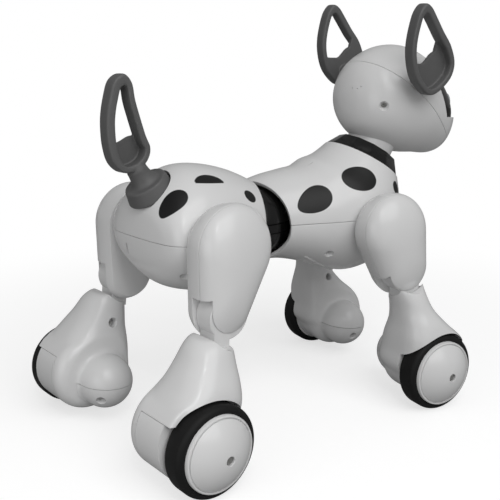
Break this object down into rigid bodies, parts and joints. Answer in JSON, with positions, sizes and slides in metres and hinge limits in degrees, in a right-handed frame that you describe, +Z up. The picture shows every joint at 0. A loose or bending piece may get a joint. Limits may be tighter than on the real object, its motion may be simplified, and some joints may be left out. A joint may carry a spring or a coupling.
{
  "type": "robot dog toy",
  "caption": "White robot dog toy with black spots, a turning waist and head, jointed legs and wheeled feet, and dark loop-shaped ears and tail",
  "frame": {"origin": "middle of the bounding box on the floor under the wheels", "axes": "+X forward along the dog, +Y to the dog's left, +Z up"},
  "size_m": [0.3228, 0.2372, 0.3071],
  "materials": {
    "white_plastic": "gloss moulded ABS",
    "black_plastic": "gloss moulded ABS",
    "black_rubber": "matte rubber",
    "grey_rubber": "matte soft plastic",
    "steel": "plain",
    "battery_wrap": "shrink sleeve",
    "board": "solder resist",
    "switch_plastic": "matte",
    "clear_plastic": "clear tinted"
  },
  "bodies": {
    "rear_torso": {"rear_upper_shell": "white_plastic", "rear_lower_shell": "white_plastic", "waist_barrel_upper": "black_plastic", "waist_barrel_lower": "black_plastic", "rear_hip_shaft": "steel", "battery_pack": "battery_wrap", "battery_door": "white_plastic", "main_board": "board"},
    "switch": {"power_switch": "switch_plastic"},
    "tail_part": {"tail": "grey_rubber"},
    "front_torso": {"front_upper_shell": "white_plastic", "front_lower_shell": "white_plastic", "waist_disc": "black_plastic", "front_hip_shaft": "steel", "collar": "black_plastic", "neck_post": "steel"},
    "head": {"neck_ring": "white_plastic", "head_rear_shell": "white_plastic", "face_shell": "white_plastic", "visor": "black_plastic", "eye_lenses": "clear_plastic", "nose": "black_plastic", "left_ear": "grey_rubber", "right_ear": "grey_rubber"},
    "left_rear_thigh": {"left_rear_thigh_inner": "white_plastic", "left_rear_thigh_outer": "white_plastic", "left_rear_knee_pin": "steel"},
    "left_rear_foot": {"left_rear_boot": "white_plastic", "left_rear_heel_cap": "white_plastic", "left_rear_gear_cap": "white_plastic", "left_rear_axle": "steel"},
    "left_rear_wheel": {"left_rear_tyre": "black_rubber", "left_rear_hub": "white_plastic"},
    "right_rear_thigh": {"right_rear_thigh_inner": "white_plastic", "right_rear_thigh_outer": "white_plastic", "right_rear_knee_pin": "steel"},
    "right_rear_foot": {"right_rear_boot": "white_plastic", "right_rear_heel_cap": "white_plastic", "right_rear_gear_cap": "white_plastic", "right_rear_axle": "steel"},
    "right_rear_wheel": {"right_rear_tyre": "black_rubber", "right_rear_hub": "white_plastic"},
    "left_front_thigh": {"left_front_thigh_inner": "white_plastic", "left_front_thigh_outer": "white_plastic", "left_front_knee_pin": "steel"},
    "left_front_foot": {"left_front_boot": "white_plastic", "left_front_heel_cap": "white_plastic", "left_front_gear_cap": "white_plastic", "left_front_axle": "steel"},
    "left_front_wheel": {"left_front_tyre": "black_rubber", "left_front_hub": "white_plastic"},
    "right_front_thigh": {"right_front_thigh_inner": "white_plastic", "right_front_thigh_outer": "white_plastic", "right_front_knee_pin": "steel"},
    "right_front_foot": {"right_front_boot": "white_plastic", "right_front_heel_cap": "white_plastic", "right_front_gear_cap": "white_plastic", "right_front_axle": "steel"},
    "right_front_wheel": {"right_front_tyre": "black_rubber", "right_front_hub": "white_plastic"}
  },
  "joints": [
    {"name": "waist_turn", "type": "hinge", "parent": "rear_torso", "child": "front_torso", "pos_m": [-0.02541, 0.00764, 0.143], "axis": [0, 0, 1], "range_deg": [-15, 38]},
    {"name": "head_turn", "type": "hinge", "parent": "front_torso", "child": "head", "pos_m": [0.07813, -0.01362, 0.1826], "axis": [0.5118, -0.1051, 0.8526], "range_deg": [-46, 33]},
    {"name": "tail_turn", "type": "hinge", "parent": "rear_torso", "child": "tail_part", "pos_m": [-0.10891, 0.00764, 0.1735], "axis": [-0.5446, 0, 0.8387], "range_deg": [-60, 60]},
    {"name": "switch_slide", "type": "slide", "parent": "rear_torso", "child": "switch", "axis": [0, 1, 0], "range_m": [0, 0.004]},
    {"name": "left_rear_hip", "type": "hinge", "parent": "rear_torso", "child": "left_rear_thigh", "pos_m": [-0.08841, 0.07064, 0.144], "axis": [0, 1, 0], "range_deg": [-25, 25]},
    {"name": "left_rear_knee", "type": "hinge", "parent": "left_rear_thigh", "child": "left_rear_foot", "pos_m": [-0.09897, 0.07064, 0.10245], "axis": [0, 1, 0], "range_deg": [-20, 20]},
    {"name": "left_rear_roll", "type": "hinge", "parent": "left_rear_foot", "child": "left_rear_wheel", "pos_m": [-0.13141, 0.07064, 0.03], "axis": [0, 1, 0], "continuous": true},
    {"name": "right_rear_hip", "type": "hinge", "parent": "rear_torso", "child": "right_rear_thigh", "pos_m": [-0.08841, -0.05536, 0.144], "axis": [0, 1, 0], "range_deg": [-25, 25]},
    {"name": "right_rear_knee", "type": "hinge", "parent": "right_rear_thigh", "child": "right_rear_foot", "pos_m": [-0.09897, -0.05536, 0.10245], "axis": [0, 1, 0], "range_deg": [-20, 20]},
    {"name": "right_rear_roll", "type": "hinge", "parent": "right_rear_foot", "child": "right_rear_wheel", "pos_m": [-0.13141, -0.05536, 0.03], "axis": [0, 1, 0], "continuous": true},
    {"name": "left_front_hip", "type": "hinge", "parent": "front_torso", "child": "left_front_thigh", "pos_m": [0.0764, 0.05105, 0.139], "axis": [0.2011, 0.9796, 0], "range_deg": [-25, 25]},
    {"name": "left_front_knee", "type": "hinge", "parent": "left_front_thigh", "child": "left_front_foot", "pos_m": [0.08584, 0.04912, 0.10698], "axis": [0.2011, 0.9796, 0], "range_deg": [-20, 20]},
    {"name": "left_front_roll", "type": "hinge", "parent": "left_front_foot", "child": "left_front_wheel", "pos_m": [0.10481, 0.04522, 0.03], "axis": [0.2011, 0.9796, 0], "continuous": true},
    {"name": "right_front_hip", "type": "hinge", "parent": "front_torso", "child": "right_front_thigh", "pos_m": [0.05107, -0.07237, 0.139], "axis": [0.2011, 0.9796, 0], "range_deg": [-25, 25]},
    {"name": "right_front_knee", "type": "hinge", "parent": "right_front_thigh", "child": "right_front_foot", "pos_m": [0.06051, -0.07431, 0.10698], "axis": [0.2011, 0.9796, 0], "range_deg": [-20, 20]},
    {"name": "right_front_roll", "type": "hinge", "parent": "right_front_foot", "child": "right_front_wheel", "pos_m": [0.07947, -0.0782, 0.03], "axis": [0.2011, 0.9796, 0], "continuous": true}
  ]
}
